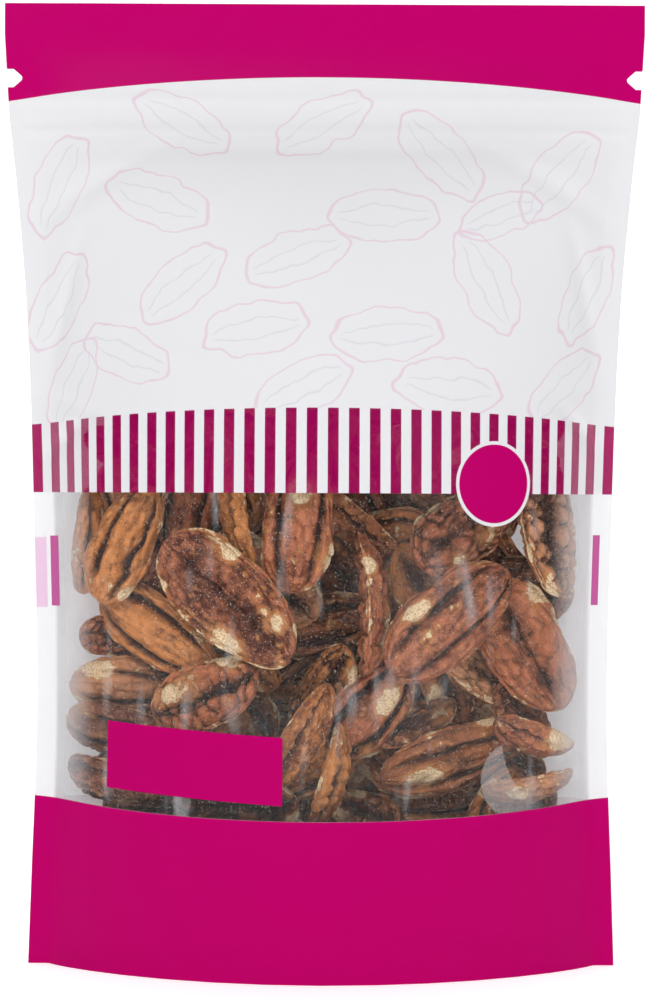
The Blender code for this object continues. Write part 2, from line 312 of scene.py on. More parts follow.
def film_net(node, side):
    """The points of one film, evenly spaced on the flat film: an array of rows, columns and x, y, z."""
    tree = merged_tree(node)
    shares = np.linspace(-1.0, 1.0, COLUMNS + 1)
    depth = np.zeros((ROWS + 1, COLUMNS + 1))
    for i, (z, half) in enumerate(zip(heights, outline)):
        for j, share in enumerate(shares):
            start = Vector((share * half * JUST_INSIDE, side * 0.1, z))
            hit = tree.ray_cast(start, Vector((0.0, -side, 0.0)))[0]
            depth[i, j] = abs(hit.y) if hit else SEALED_DEPTH
    depth = smooth(depth, SMOOTHING_ROUNDS)
    net = np.zeros((ROWS + 1, COLUMNS + 1, 3))
    flat = np.linspace(-1.0, 1.0, COLUMNS + 1)
    for i, half in enumerate(outline):
        x = shares * half
        steps = np.hypot(np.diff(x), np.diff(depth[i]))
        length = np.concatenate([[0.0], np.cumsum(steps)])
        length = length / length[-1] * 2.0 - 1.0
        net[i, :, 0] = np.interp(flat, length, x)
        net[i, :, 1] = side * np.interp(flat, length, depth[i])
        net[i, :, 2] = heights[i]
    return net


front_net = film_net("front_panel", -1)
back_net = film_net("back_panel", 1)
print("the front stands", round(-front_net[..., 1].min() / MM, 1), "mm out at its fullest")

# %% [markdown]
# Real film isn't as even as the net. It shows the zip's strips through it, a soft fold below the zip, a
# slight step where the seals end, and little pinched folds at the sides, where a round pouch has too much
# film. Sculpting by hand would do, but a list of folds with a place, a size, a turn and a depth is easier
# to change. A little slow noise makes the rest of the film less than perfect. Every fold goes inwards, so
# the pouch keeps its size.

# %% Crease the film
SEAL_EDGE = 66.2  # mm from the middle of the flat film
ZIP_MIDDLE, ZIP_REACH = 192.0, 9.0
# Folds: across and up on the flat film, reach along and across, all in mm, turn in degrees, depth in mm
FRONT_FOLDS = (
    (-63.0, 119.0, 7.0, 1.6, 35, 1.1),
    (-60.0, 126.0, 8.0, 1.8, -20, 0.8),
    (63.5, 121.0, 7.0, 1.6, -40, 1.0),
    (61.0, 129.0, 8.0, 1.8, 25, 0.7),
    (62.5, 52.0, 12.0, 2.6, 80, 0.3),
    (-63.0, 70.0, 14.0, 2.6, 84, 0.3),
    (-62.5, 148.0, 16.0, 2.2, 70, 0.8),
    (62.5, 152.0, 16.0, 2.2, 108, 0.8),
    (-52.0, 176.0, 18.0, 2.4, 28, 0.6),
    (52.0, 176.0, 18.0, 2.4, -28, 0.6),
    (0.0, 183.5, 46.0, 1.6, 0, 0.45),
    (-30.0, 8.0, 22.0, 2.0, 4, 0.3),
    (34.0, 10.0, 20.0, 2.0, -5, 0.3),
    (43.5, 43.0, 8.0, 1.1, 74, 0.9),
    (46.5, 42.0, 7.0, 0.9, 104, 0.6),
)
BACK_FOLDS = (
    (-61.0, 118.0, 8.0, 1.8, 30, 0.9),
    (62.0, 124.0, 8.0, 1.8, -30, 0.9),
    (0.0, 183.0, 46.0, 1.8, 0, 0.5),
    (-48.0, 172.0, 18.0, 2.6, 30, 0.7),
    (50.0, 174.0, 18.0, 2.6, -30, 0.7),
    (22.0, 60.0, 26.0, 3.0, 65, 0.4),
    (-20.0, 96.0, 24.0, 3.0, 100, 0.4),
)
ZIP_RIDGES = (195.6, 188.4)
UNEVENNESS = 0.22


def crease_depth(across, up, folds, seed):
    """How far the film lies inwards at a place of the flat film, all in mm."""
    depth = 0.0
    for middle, height, along, over, turn, deep in folds:
        c, s = math.cos(math.radians(turn)), math.sin(math.radians(turn))
        x, y = across - middle, up - height
        depth += deep * math.exp(-(((x * c + y * s) / along) ** 2) - ((y * c - x * s) / over) ** 2)
    ridge = max(math.exp(-(((up - r) / 0.9) ** 2)) for r in ZIP_RIDGES)
    depth += 0.28 * (1.0 - ridge) * math.exp(-(((up - ZIP_MIDDLE) / ZIP_REACH) ** 4))
    depth += 0.12 / (1.0 + math.exp(-(abs(across) - SEAL_EDGE) * 4.0))
    depth += UNEVENNESS * (0.5 + 0.5 * noise.noise(Vector((across / 21.0, up / 17.0, seed))))
    return depth


def creased(net, folds, side, seed):
    """The net with its folds pressed in along Y. Nothing is pressed through the middle of the pouch."""
    net = net.copy()
    for i in range(ROWS + 1):
        for j in range(COLUMNS + 1):
            across = (j / COLUMNS - 0.5) * FLAT_WIDTH / MM
            deep = crease_depth(across, net[i, j, 2] / MM, folds, seed) * MM
            room = abs(net[i, j, 1]) - 0.30 * MM
            net[i, j, 1] -= side * min(deep, max(room, 0.0))
    return net


front_net = creased(front_net, FRONT_FOLDS, -1, 3.0)
back_net = creased(back_net, BACK_FOLDS, 1, 8.0)
print("creased the front with", len(FRONT_FOLDS), "folds and the back with", len(BACK_FOLDS))

# %% [markdown]
# Now the nets become meshes. A grid of quads carries a UV map in which one unit is the whole flat film, so
# the print can be drawn in millimetres of flat film. Solidify gives the film its thickness inwards, and a
# Boolean with a cutter shaped like the tear notch opens the two notches. The notch has straight sides, then
# a taper to a round tip, which is what makes the film tear there and nowhere else.

# %% Make the film meshes
FILM = 0.10 * MM
NOTCH_HALF = 2.1 * MM  # half a notch's opening
NOTCH_REACH = 3.0 * MM  # how far its cutter stands out of the film
NOTCH_TIP = 0.8 * MM  # the radius of its round tip


def notch_cutter(side):
    """A flat bar across the side seal, in the notch's outline."""
    curve = bpy.data.curves.new("notch_outline", "CURVE")
    curve.dimensions = "2D"
    curve.fill_mode = "BOTH"
    curve.extrude = 5.0 * MM
    half_width = float(np.interp(notch_height, heights, outline))
    tip = half_width - notch_depth
    shoulder = tip + NOTCH_HALF
    mouth = half_width + NOTCH_REACH
    points = [(mouth, -NOTCH_HALF), (mouth, NOTCH_HALF), (shoulder, NOTCH_HALF)]
    for step in range(5):
        turn = math.radians(135.0 + 22.5 * step)
        points.append((tip + 0.9 * MM + NOTCH_TIP * math.cos(turn), NOTCH_TIP * math.sin(turn)))
    points.append((shoulder, -NOTCH_HALF))
    spline = curve.splines.new("POLY")
    spline.points.add(len(points) - 1)
    for point, (x, z) in zip(spline.points, points):
        point.co = (x, z, 0.0, 1.0)
    spline.use_cyclic_u = True
    cutter = applied(add_object("notch_cutter", curve))
    cutter.data.transform(Matrix(((side, 0, 0, 0), (0, 0, 1, 0), (0, 1, 0, notch_height), (0, 0, 0, 1))))
    shape = bmesh.new()
    shape.from_mesh(cutter.data)
    bmesh.ops.remove_doubles(shape, verts=shape.verts, dist=1e-6)
    bmesh.ops.recalc_face_normals(shape, faces=shape.faces)
    shape.to_mesh(cutter.data)
    shape.free()
    return cutter


def applied(obj):
    """Turns an object and its modifiers into a plain mesh object of the same name."""
    bpy.context.view_layer.update()
    mesh = bpy.data.meshes.new_from_object(obj.evaluated_get(bpy.context.evaluated_depsgraph_get()))
    name = obj.name
    bpy.data.objects.remove(obj)
    return add_object(name, mesh)


def grid_object(name, net, flip):
    """A mesh over a net of points, with a UV map called film."""
    rows, columns = net.shape[0] - 1, net.shape[1] - 1
    mesh = bmesh.new()
    layer = mesh.loops.layers.uv.new("film")
    verts = [[mesh.verts.new(net[i, j]) for j in range(columns + 1)] for i in range(rows + 1)]
    top = float(heights[-1])
    for i in range(rows):
        for j in range(columns):
            corners = [(i, j), (i, j + 1), (i + 1, j + 1), (i + 1, j)]
            corners = corners[::-1] if flip else corners
            face = mesh.faces.new([verts[a][b] for a, b in corners])
            for loop, (a, b) in zip(face.loops, corners):
                loop[layer].uv = (b / columns, net[a, b, 2] / top)
    return mesh_object(name, mesh)


def film_object(name, net, flip, cutters):
    film = grid_object(name, net, flip)
    solid = film.modifiers.new("thickness", "SOLIDIFY")
    solid.thickness = FILM
    solid.offset = -1.0
    for cutter in cutters:
        cut = film.modifiers.new("notch", "BOOLEAN")
        cut.operation = "DIFFERENCE"
        cut.object = cutter
    film = applied(film)
    film.data.shade_smooth()
    film.data.set_sharp_from_angle(angle=math.radians(50.0))
    return film


cutters = [notch_cutter(side) for side in (-1, 1)]
front_film = film_object("front_film", front_net, False, cutters)
back_film = film_object("back_film", back_net, True, cutters)
for cutter in cutters:
    bpy.data.objects.remove(cutter)
for film in (front_film, back_film):
    print(film.name, "has", len(film.data.polygons), "faces")

# %% [markdown]
# The gusset is the folded film in the base. Its shape in the construction model is right but has few
# facets, so a copy is merged into one closed skin and rounded off with a Subdivision Surface. Modelling it
# again would only risk moving its feet off the ground.

# %% Round off the gusset


def rounded_copy(node, name, levels):
    mesh = bmesh.new()
    mesh.from_mesh(nodes[node].data)
    bmesh.ops.remove_doubles(mesh, verts=mesh.verts, dist=1e-6)
    bmesh.ops.join_triangles(
        mesh, faces=mesh.faces, angle_face_threshold=math.radians(40), angle_shape_threshold=math.radians(40)
    )
    copy = mesh_object(name, mesh)
    soften = copy.modifiers.new("soften", "SUBSURF")
    soften.levels = soften.render_levels = levels
    return applied(copy)


gusset_film = rounded_copy("bottom_gusset", "gusset_film", 2)
gusset_film.data.shade_smooth()
print("the gusset has", len(gusset_film.data.polygons), "faces")

# %% [markdown]
# ## The print
#
# The pouch is printed in one strong magenta and in white, on clear film. Where the print is missing, the
# clear film is a window. A painted picture could hold all this, but the print is simple geometry, so it is
# worked out from the place on the flat film. It stays sharp at any size, and a band or a stripe is moved by
# changing one number.
#
# The first group says whether a place lies above an arched edge. The bands of the print are arched a
# little, so that they look level round the bulge of the filled pouch.

# %% Group: above an arched edge
SOFT = 0.06  # mm, half the width of a printed edge's blur
arch_group, given, result = new_group(
    "above arched edge",
    {"Across": 0.0, "Up": 0.0, "Middle": 0.0, "Drop": 0.0},
    {"Mask": "Float"},
)
share = given["Across"] / (FLAT_WIDTH / MM / 2)
edge = given["Middle"] - share * share * given["Drop"]
feed(result["Mask"], soft_step(given["Up"] - edge, -SOFT, SOFT))
print("made the group", arch_group.name)

# %% [markdown]
# The white part of the print carries faint drawings of kernels in outline. Each is an ellipse with a
# wavering edge and two bent lines along its back. One group draws one kernel at a place, turned and sized,
# and the material then places it as often as it likes. It is the shader's version of a rubber stamp.

# %% Group: one drawn kernel
LINE = 0.32  # mm, the width of a drawn line
LOBES, LOBE_DEPTH = 7.0, 0.03  # waves round the outline, and how deep they are as a share of its size
GROOVE_BEND = 0.36  # how far the two inner lines bow out, as a share of half the width
stamp_group, given, result = new_group(
    "drawn kernel",
    {
        **{"Across": 0.0, "Up": 0.0, "Place across": 0.0, "Place up": 0.0},
        **{"Turn": 0.0, "Length": 25.0, "Width": 12.0},
    },
    {"Outline": "Float", "Grooves": "Float"},
)
turn = calc("RADIANS", given["Turn"])
cosine, sine = calc("COSINE", turn), calc("SINE", turn)
x, y = given["Across"] - given["Place across"], given["Up"] - given["Place up"]
along = (x * cosine + y * sine) / (given["Length"] * 0.5)
over = (y * cosine - x * sine) / (given["Width"] * 0.5)
lobes = calc("SINE", calc("ARCTAN2", over, along) * LOBES) * LOBE_DEPTH
squared = along * along
radius = calc("SQRT", squared + over * over)
thin = 2.0 * LINE / given["Width"]
feed(result["Outline"], soft_step(abs(radius + lobes - 1.0), 0.0, thin, 1.0, 0.0))
bend = (1.0 - squared) * GROOVE_BEND
groove = soft_step(abs(abs(over) - bend), 0.0, thin, 1.0, 0.0)
feed(result["Grooves"], groove * soft_step(squared, 0.55, 0.75, 1.0, 0.0))
print("made the group", stamp_group.name)

# %% [markdown]
# Film is never quite flat between its big folds. One group holds its fine crinkles, as a height for a Bump
# node, and every film uses it: long soft swells, and a few sharp little creases where a noise crosses its
# middle value.

# %% Group: film crinkles
crinkle_group, given, result = new_group(
    "film crinkles", {"Place": "Vector", "Sharpness": 0.5}, {"Height": "Float"}
)
swell = noise_at(given["Place"], 55.0, 1.0)
crossing = noise_at(given["Place"], 48.0, 1.0) - 0.5
feed(result["Height"], swell + soft_step(abs(crossing), 0.0, 0.10) * given["Sharpness"])
print("made the group", crinkle_group.name)


def crinkled(place, sharpness, strength):
    """The normal of crinkled film."""
    crinkles = use_group(place.tree, crinkle_group, {"Place": place, "Sharpness": sharpness})
    return bump(crinkles["Height"], strength, 0.5 * MM)


# %% [markdown]
# The front print joins these. Every mask is worked out in millimetres of flat film, across from the middle
# and up from the foot. The plain panel and the plain disc keep the place of a name plate and a badge, and
# are left bare.

# %% The places of the front print
PITCH, STRIPE_SHARE, STRIPES_FOOT = 4.6, 0.51, 106.7
TOP_BAND, TOP_DROP = 200.8, 5.6
WHITE_FOOT, WHITE_DROP = 125.2, 3.2
BASE_BAND, BASE_DROP = 35.7, -2.4
PANEL_MIDDLE, PANEL_HALF, PANEL_SLOPE = (-29.9, 47.6), (21.4, 7.4), -0.054
DISC_MIDDLE, DISC_RADIUS, RING = (39.3, 108.9), 9.4, 0.75
# Marks at the window's sides: middle, and half the size
LEFT_MARK, RIGHT_MARK = ((-67.6, 89.0), (1.1, 7.9)), ((69.0, 89.6), (0.9, 7.9))
PALE_MARK = ((-71.1, 88.6), (1.4, 7.9))
# Drawn kernels: across, up, turn, length
KERNEL_STAMPS = (
    *((26.5, 182.7, -50, 26), (54.0, 177.8, 50, 26), (36.9, 153.5, -60, 25), (63.0, 151.5, 65, 24)),
    *((14.4, 141.4, 4, 25), (28.3, 130.0, -4, 25), (58.0, 130.5, 40, 24), (13.3, 168.0, 0, 25)),
    *((-0.4, 190.0, 30, 24), (-32.5, 190.0, -30, 24), (-62.0, 176.0, 60, 25), (-64.0, 149.6, 55, 25)),
    *((-61.0, 130.5, 60, 24), (-15.0, 142.5, 10, 24), (-4.4, 129.5, 25, 23), (-37.6, 171.5, -20, 25)),
    *((-6.0, 158.5, 20, 24), (-32.0, 152.5, 38, 24), (-46.0, 137.5, -20, 23), (40.0, 168.5, 20, 20)),
)
STAMP_WIDTH = 0.48  # of its length
PEN_SWAY = 2.6  # mm, how far a drawn line may waver


def film_place(tree):
    """Across from the middle and up from the foot, in mm of flat film."""
    uv = fed_node(tree, "ShaderNodeUVMap", {}, uv_map="film")
    parts = fed_node(tree, "ShaderNodeSeparateXYZ", {0: uv}).socket.node.outputs
    across, up = Wire(tree, parts[0]), Wire(tree, parts[1])
    return (across - 0.5) * (FLAT_WIDTH / MM), up * (float(heights[-1]) / MM)


def inside_box(spot, middle, half, slope=0.0):
    """A mask of a rectangle. With a slope its long sides run downhill and its short sides stay upright."""
    x, y = spot[0] - middle[0], spot[1] - middle[1]
    return (abs(x) < half[0]) * (abs(y - x * slope) < half[1])


def distance_to(spot, middle):
    x, y = spot[0] - middle[0], spot[1] - middle[1]
    return calc("SQRT", x * x + y * y)


def above_edge(spot, middle, drop):
    values = {"Across": spot[0], "Up": spot[1], "Middle": middle, "Drop": drop}
    return use_group(spot[0].tree, arch_group, values)["Mask"]


def stamped_lines(spot):
    """All drawn kernels: their outlines, and the grooves inside them."""
    stamps = []
    for place_across, place_up, turn, length in KERNEL_STAMPS:
        values = {"Across": spot[0], "Up": spot[1], "Place across": place_across, "Place up": place_up}
        values |= {"Turn": turn, "Length": length, "Width": length * STAMP_WIDTH}
        stamps.append(use_group(spot[0].tree, stamp_group, values))
    return (most(*(stamp[part] for stamp in stamps)) for part in ("Outline", "Grooves"))


printed_film, tree, shader = new_material("printed_film", {"Roughness": 0.33, "Specular IOR Level": 0.02})
place, spot = object_place(tree), film_place(tree)
top = above_edge(spot, TOP_BAND, TOP_DROP)
above_white = above_edge(spot, WHITE_FOOT, WHITE_DROP)
above_stripes = spot[1] > STRIPES_FOOT
base = 1.0 - above_edge(spot, BASE_BAND, BASE_DROP)
far = distance_to(spot, DISC_MIDDLE)
disc = far < DISC_RADIUS
ring = disc * (far > DISC_RADIUS - RING)
bands = most(top, base, inside_box(spot, PANEL_MIDDLE, PANEL_HALF, PANEL_SLOPE), disc)
phase = calc("FRACT", (spot[0] + FLAT_WIDTH / MM / 2) / PITCH)
stripes = without(without(above_stripes, above_white) * (phase < STRIPE_SHARE), disc)
deep = most(inside_box(spot, *LEFT_MARK), inside_box(spot, *RIGHT_MARK))
pale = inside_box(spot, *PALE_MARK)
seal = soft_step(abs(spot[0]), SEAL_EDGE, SEAL_EDGE + 2.0)
pen = [axis + (noise_at(place, scale, 1.0) - 0.5) * PEN_SWAY for axis, scale in zip(spot, (190.0, 230.0))]
print("the front print places", len(KERNEL_STAMPS), "drawn kernels")

# %% [markdown]
# Then each mask gets its ink. The stripes have no white under them, so they let a little of the nuts
# through. The side seals are two films melted together, which turns them milky, and the film is painted
# whiter over a band that leads up to them. The window itself is almost nothing: a very thin haze, partly the
# film's own and partly a painted reflection of the lights, specks of dust, a few pale streaks of painted
# glare, and a pale crescent painted as a highlight on a fold.

# %% The inks of the front print, and what they cover
MAGENTA, STRIPE_MAGENTA, WHITE = web("b90065"), web("ac005e"), web("e1e1e4")
STRIPE_CLEARNESS, SEAL_MILKINESS = 0.46, 0.75
HAZE_AND_SHEEN, DUST, GLARE_STREAK, VEIL, CREASE_HIGHLIGHT = 0.012, 0.16, 0.24, 0.32, 0.13  # the most that each hides
VEIL_WIDTH = 12.0  # mm
# The pale crescent on a fold is a painted highlight: inside one circle and outside another. Middle and
# radius
CREASE_INSIDE, CREASE_OUTSIDE = ((44.6, 43.8), 8.2), ((57.6, 52.6), 15.6)
outlines, grooves = stamped_lines(pen)
paper = mix(outlines * 0.85, WHITE, web("dcc4d0"))
paper = mix(grooves * 0.7, paper, web("cecfd5"))
ink = mix(without(above_white, top), WHITE, paper)
for mask, colour in (
    (without(bands, ring), MAGENTA),
    (stripes, STRIPE_MAGENTA),
    (pale, web("e6c6de")),
    (deep, web("bd5c97")),
    (without(seal, most(above_stripes, bands, deep, pale)), web("fbfbfd")),
):
    ink = mix(mask, ink, colour)
feed(shader.inputs["Base Color"], ink)
inks = most(above_stripes, ring, without(bands, ring), pale, deep) - stripes * STRIPE_CLEARNESS
# a faint white over the film: partly the film's own haze, partly a painted reflection of the lights
haze_and_sheen = soft_step(noise_at(place, 38.0, 3.0), 0.42, 0.75, 0.0, HAZE_AND_SHEEN)
dust = soft_step(noise_at(place, 2300.0, 1.0), 0.64, 0.78, 0.0, DUST)
# pale vertical streaks of painted glare, where light shines off the window film
streaks = soft_step(noise_at(scaled(place, (180.0, 1.0, 42.0)), 1.0, 2.0), 0.56, 0.84, 0.0, GLARE_STREAK)
# the film is painted whiter over a band that leads up to the side seals
veil = soft_step(abs(spot[0]), SEAL_EDGE - VEIL_WIDTH, SEAL_EDGE, 0.0, VEIL)
(inner, near), (outer, beyond) = CREASE_INSIDE, CREASE_OUTSIDE
# a pale crescent painted as a highlight on the fold that is pressed into the film here
crease_highlight = (distance_to(spot, inner) < near) * (distance_to(spot, outer) > beyond) * CREASE_HIGHLIGHT
opacity = calc("MAXIMUM", most(inks, seal * SEAL_MILKINESS, crease_highlight, veil, streaks, dust), haze_and_sheen, clamp=True)
print("the front print has its inks")

# %% [markdown]
# The inks are one shader, and the bare window another: what lies behind, and a reflection that grows as the
# film turns away. A mask of what is covered mixes the two. A Fresnel node would do for that on a solid, but
# light doesn't bend on its way through this film, so on the film's inner side it would give a mirror. Layer
# Weight's Facing, raised to the fifth power, is the same on both sides. It stands in the material itself,
# since an export reads a material and not what a group hides.

# %% Join the inks and the window
STRAIGHT_ON, EDGE_ON = 0.012, 0.9  # the share of light that a side of the film throws back
rippled = crinkled(place, 0.2, 0.25)
feed(shader.inputs["Normal"], rippled)
clear = fed_node(tree, "ShaderNodeBsdfTransparent", {})
gloss = fed_node(tree, "ShaderNodeBsdfGlossy", {"Roughness": 0.12, "Normal": rippled})
facing = fed_node(tree, "ShaderNodeLayerWeight", {"Blend": 0.5, "Normal": rippled}, "Facing")
mirrored = calc("MULTIPLY_ADD", calc("POWER", facing, 5.0), EDGE_ON, STRAIGHT_ON)
window = mix_shaders(tree, mirrored, clear, gloss)
feed(surface(tree), mix_shaders(tree, opacity, window, Wire(tree, shader.outputs[0])))
front_film.data.materials.clear()
front_film.data.materials.append(printed_film)
print("the front film is", printed_film.name)

# %% [markdown]
# The back is the plain side. It is white where the front has its window, and milky film lets some light
# through from behind, which brightens the margins beside the nuts. The gusset is printed magenta all over.
# Both have the film's crinkles.

# %% The back print and the gusset's ink
BACK_WHITE = web("f4f4f6")


def ink_material(name, colour_of, glow):
    """An ink on film. glow is the share of light that comes through from behind."""
    material, tree, shader = new_material(name, {"Roughness": 0.34, "Specular IOR Level": 0.05})
    feed(shader.inputs["Base Color"], colour_of(tree))
    feed(shader.inputs["Normal"], crinkled(object_place(tree), 0.3, 0.4))
    if glow:
        through = fed_node(tree, "ShaderNodeBsdfTranslucent", {"Color": BACK_WHITE})
        feed(surface(tree), mix_shaders(tree, glow, Wire(tree, shader.outputs[0]), through))
    return material


def back_colour(tree):
    spot = film_place(tree)
    bands = most(above_edge(spot, TOP_BAND, TOP_DROP), 1.0 - above_edge(spot, BASE_BAND, BASE_DROP))
    return mix(bands, BACK_WHITE, MAGENTA)


def gusset_colour(tree):
    worn = soft_step(noise_at(object_place(tree), 120.0, 3.0), 0.35, 0.7)
    return mix(worn, MAGENTA, web("c5077a"))


for film, name, colour_of, glow in (
    (back_film, "white_film", back_colour, 0.6),
    (gusset_film, "magenta_film", gusset_colour, 0.0),
):
    film.data.materials.clear()
    film.data.materials.append(ink_material(name, colour_of, glow))
print("inked the back film and the gusset")

# %% [markdown]
# The zip is two strips of milky polythene that press together. It lies behind the white print and is seen
# only from an open top, but its ridges show. It keeps its shape from the construction model and only gets
# its plastic: a little see-through, with fine lines along its length from the die that it was pressed
# through.

# %% The zip's plastic
zip_look = {"Roughness": 0.4, "Subsurface Weight": 0.2, "Subsurface Radius": (0.002, 0.002, 0.002)}
zip_plastic, tree, shader = new_material("zip_plastic", zip_look)
die_lines = noise_at(scaled(object_place(tree), (20.0, 900.0, 900.0)), 2.0, 2.0)
feed(shader.inputs["Base Color"], mix(die_lines, web("dfe3e6"), web("f1f3f4")))
feed(shader.inputs["Normal"], bump(die_lines, 0.2, 0.1 * MM))
for name in ("zip_rib_strip", "zip_socket_strip"):
    for slot_of_node in nodes[name].material_slots:
        slot_of_node.material = zip_plastic
print("gave the zip its plastic")

# %% [markdown]
# ## The pecan halves
#
# Each half has a node in the construction model, which says where it lies and how big it is, but as a
# smooth egg. To put a detailed kernel in the same place, its pose is read back from the node: the long, the
# middle and the short way through its points are its length, width and thickness. Two signs are left open.
# Its tip is the slimmer end, and its rounded back is the side with the longer reach from the rim.

# %% Read each half's pose


def kernel_pose(node):
    """The middle, the turn and the size of a half: X to its slimmer tip, Z out of its rounded back."""
    points = np.unique(np.round([v.co for v in nodes[node].data.vertices], 7), axis=0)
    middle = (points.max(axis=0) + points.min(axis=0)) / 2
    values, ways = np.linalg.eigh(np.cov((points - points.mean(axis=0)).T))
    along, over, out = ways[:, 2], ways[:, 1], ways[:, 0]
    local = (points - points.mean(axis=0)) @ np.column_stack([along, over, out])
    tip, tail = local[:, 0] > 0.5 * local[:, 0].max(), local[:, 0] < 0.5 * local[:, 0].min()
    if np.abs(local[tip, 1]).max() > np.abs(local[tail, 1]).max():
        along = -along
    if np.sum(local[:, 2] ** 3) < 0:
        out = -out
    over = np.cross(out, along)
    turn = np.column_stack([along, over, out])
    local = (points - middle) @ turn
    size = local.max(axis=0) - local.min(axis=0)
    middle = middle + turn @ ((local.max(axis=0) + local.min(axis=0)) / 2)
    return middle, turn, size


kernel_nodes = sorted(name for name in nodes if name.startswith("pecan_half"))
poses = {name: kernel_pose(name) for name in kernel_nodes}
longest = max(pose[2][0] for pose in poses.values())
print("read", len(poses), "poses; the longest half is", round(longest / MM, 1), "mm long")

# %% [markdown]
# A pecan half is a lobed thing. Its back has a wide middle ridge between two deep grooves, with more
# wrinkles towards the rim. Its cut side has one wide channel with swollen walls. Both have ripples across
# them, and the rim is scalloped. Sculpting one kernel and copying it would show, since dozens lie side by
# side. So a formula moves the points of a sphere, with random numbers of its own for each half: the fit of
# the grooves, the number of lobes, and the noise that makes its wrinkles. Every groove goes in from the
# node's smooth egg, so no half grows.
#
# Some numbers are stored at each point for the shader: how deep it lies in a groove, where the skin is
# painted darker, partly as painted shade, how near it is to the rim, where the brown skin rubs off and the
# skin is painted lighter as painted light, where a whole patch of it is gone, the kernel's own tone, and a
# place on its skin that fine streaks can follow.

# %% Shape one kernel
FINE, COARSE = (104, 72), (72, 48)  # steps around and along: fine for the halves that show
EGG_TAPER = 0.12
EGG_BEND = 0.05


def fold_line(angle, centre, width):
    """1 in the middle of a groove, and 0 away from it."""
    return np.exp(-np.abs((angle - centre) / width) ** 1.6)


def noise_of(places, scale, seed):
    """Noise at each place, as an array from -1 to 1."""
    shift = Vector((seed * 3.7, seed * 1.9, seed * 5.3))
    return np.array([noise.noise(Vector(p * scale) + shift) for p in places])


def between_lobes(places, scale, seed):
    """How far each place is from the border between two lobes: 0 on the border."""
    shift = Vector((seed * 2.3, seed * 4.1, seed * 1.7))
    spans = [noise.voronoi(Vector(p * scale) + shift)[0] for p in places]
    return np.array([span[1] - span[0] for span in spans])


def bare_patches(places, size, count, chance):
    """Where the skin is gone: over 0 within a patch. Most patches lie near an end or the rim."""
    bare = np.full(len(places), -1.0)
    for _ in range(count):
        end = chance.choice((-1, 1)) * chance.uniform(0.25, 0.98)
        turn = chance.uniform(0.0, math.tau)
        spot = np.array([end * size[0] / 2, math.sin(turn) * size[1] * 0.4, math.cos(turn) * size[2] * 0.4])
        reach = np.array([chance.uniform(2.4, 5.5), chance.uniform(1.8, 3.4), 3.6]) * MM
        away = np.sqrt((((places - spot) / reach) ** 2).sum(axis=1))
        bare = np.maximum(bare, 1.0 - away)
    return bare


def kernel_shape(sphere, size, patches, chance):
    """The points of one kernel about its middle, and what the shader wants to know at each."""
    along, side, up = sphere.T
    round_part = np.sqrt(np.maximum(1 - along**2, 1e-9))
    angle = np.arctan2(side / round_part, up / round_part)
    turn = np.abs(angle)
    cosine, sine = np.cos(turn), np.sin(angle)
    seed = chance.uniform(0.0, 40.0)
    flat = np.column_stack([along * 1.9, side, up])
    slow = noise_of(flat, 1.6, seed)
    fine = noise_of(flat, 4.2, seed + 7)
    finer = noise_of(flat, 9.0, seed + 11)
    borders = between_lobes(flat, chance.uniform(1.5, 2.2), seed)
    ends = 1.0 - np.abs(along) ** 6
    cut_side = 0.5 - 0.5 * np.tanh(3.0 * cosine)
    crumpled = chance.uniform(0.55, 1.0)

    centre = math.radians(chance.uniform(25.0, 34.0)) + 0.13 * slow + 0.06 * np.sin(along * 3 + seed)
    depth, groove_width = chance.uniform(0.24, 0.34), math.radians(chance.uniform(5.0, 8.0))
    grooves = depth * fold_line(turn, centre, groove_width * (1 - 0.45 * along)) * ends
    side_centre = math.radians(chance.uniform(58.0, 72.0)) + 0.22 * slow
    grooves += chance.uniform(0.08, 0.18) * fold_line(turn, side_centre, math.radians(5.0)) * ends
    channel_width = math.radians(chance.uniform(13.0, 22.0)) * (1.0 + 0.5 * along * chance.choice((-1, 1)))
    grooves += chance.uniform(0.16, 0.26) * fold_line(math.pi - turn, 0.12 * slow, channel_width) * ends
    creases = np.exp(-np.abs(borders / 0.11) ** 1.3) * (0.55 + 0.45 * cut_side) * crumpled
    hollows = np.exp(-borders / 0.30) * (0.55 + 0.45 * cut_side) * crumpled
    furrows = (0.5 + 0.5 * np.cos(turn * chance.uniform(15.0, 21.0) + 5.0 * slow + seed)) ** 2 * ends
    ripples = (0.5 + 0.5 * np.sin(along * chance.uniform(9.0, 14.0) + 4.0 * slow + 2.0 * sine)) * ends
    dents = grooves + 0.15 * creases + 0.13 * hollows + 0.04 * ripples + 0.05 * furrows
    dents += 0.07 * (0.5 + 0.5 * fine) + 0.035 * (0.5 + 0.5 * finer)

    lobes = 0.5 + 0.5 * np.sin(along * chance.uniform(5.0, 8.0) + seed + (side > 0) * 2.1)
    rim = np.exp(-(((turn - math.radians(96.0)) / math.radians(26.0)) ** 2))
    outline = np.sqrt(np.maximum(1 - np.abs(along) ** 2.6, 0.0)) * (1 - EGG_TAPER * along)
    outline = outline * (1.0 - 0.08 * rim * lobes - 0.10 * (0.5 + 0.5 * slow) - 0.06 * rim * creases)
    length, width, thick = size
    y = outline * sine * width / 2 * (1.0 - 0.4 * dents * rim)
    z = outline * (np.where(cosine > 0, 0.70, 0.30) * cosine - dents * np.tanh(3.0 * cosine)) * thick
    z = z - EGG_BEND * length * along**2
    points = np.column_stack([along * length / 2 * (1.0 - 0.03 * lobes), y, z])
    groove = np.clip(grooves / 0.26, 0.0, 1.0) ** 2.2 + 0.8 * creases**2 + 0.12 * furrows
    coat = np.column_stack([along * length / 2, angle * width / 4, np.full(len(along), seed)])
    return points, groove, rim, bare_patches(points, size, patches, chance), coat


def unit_sphere(steps):
    mesh = bmesh.new()
    bmesh.ops.create_uvsphere(mesh, u_segments=steps[0], v_segments=steps[1], radius=1.0)
    return mesh, np.array([v.co.zxy for v in mesh.verts])


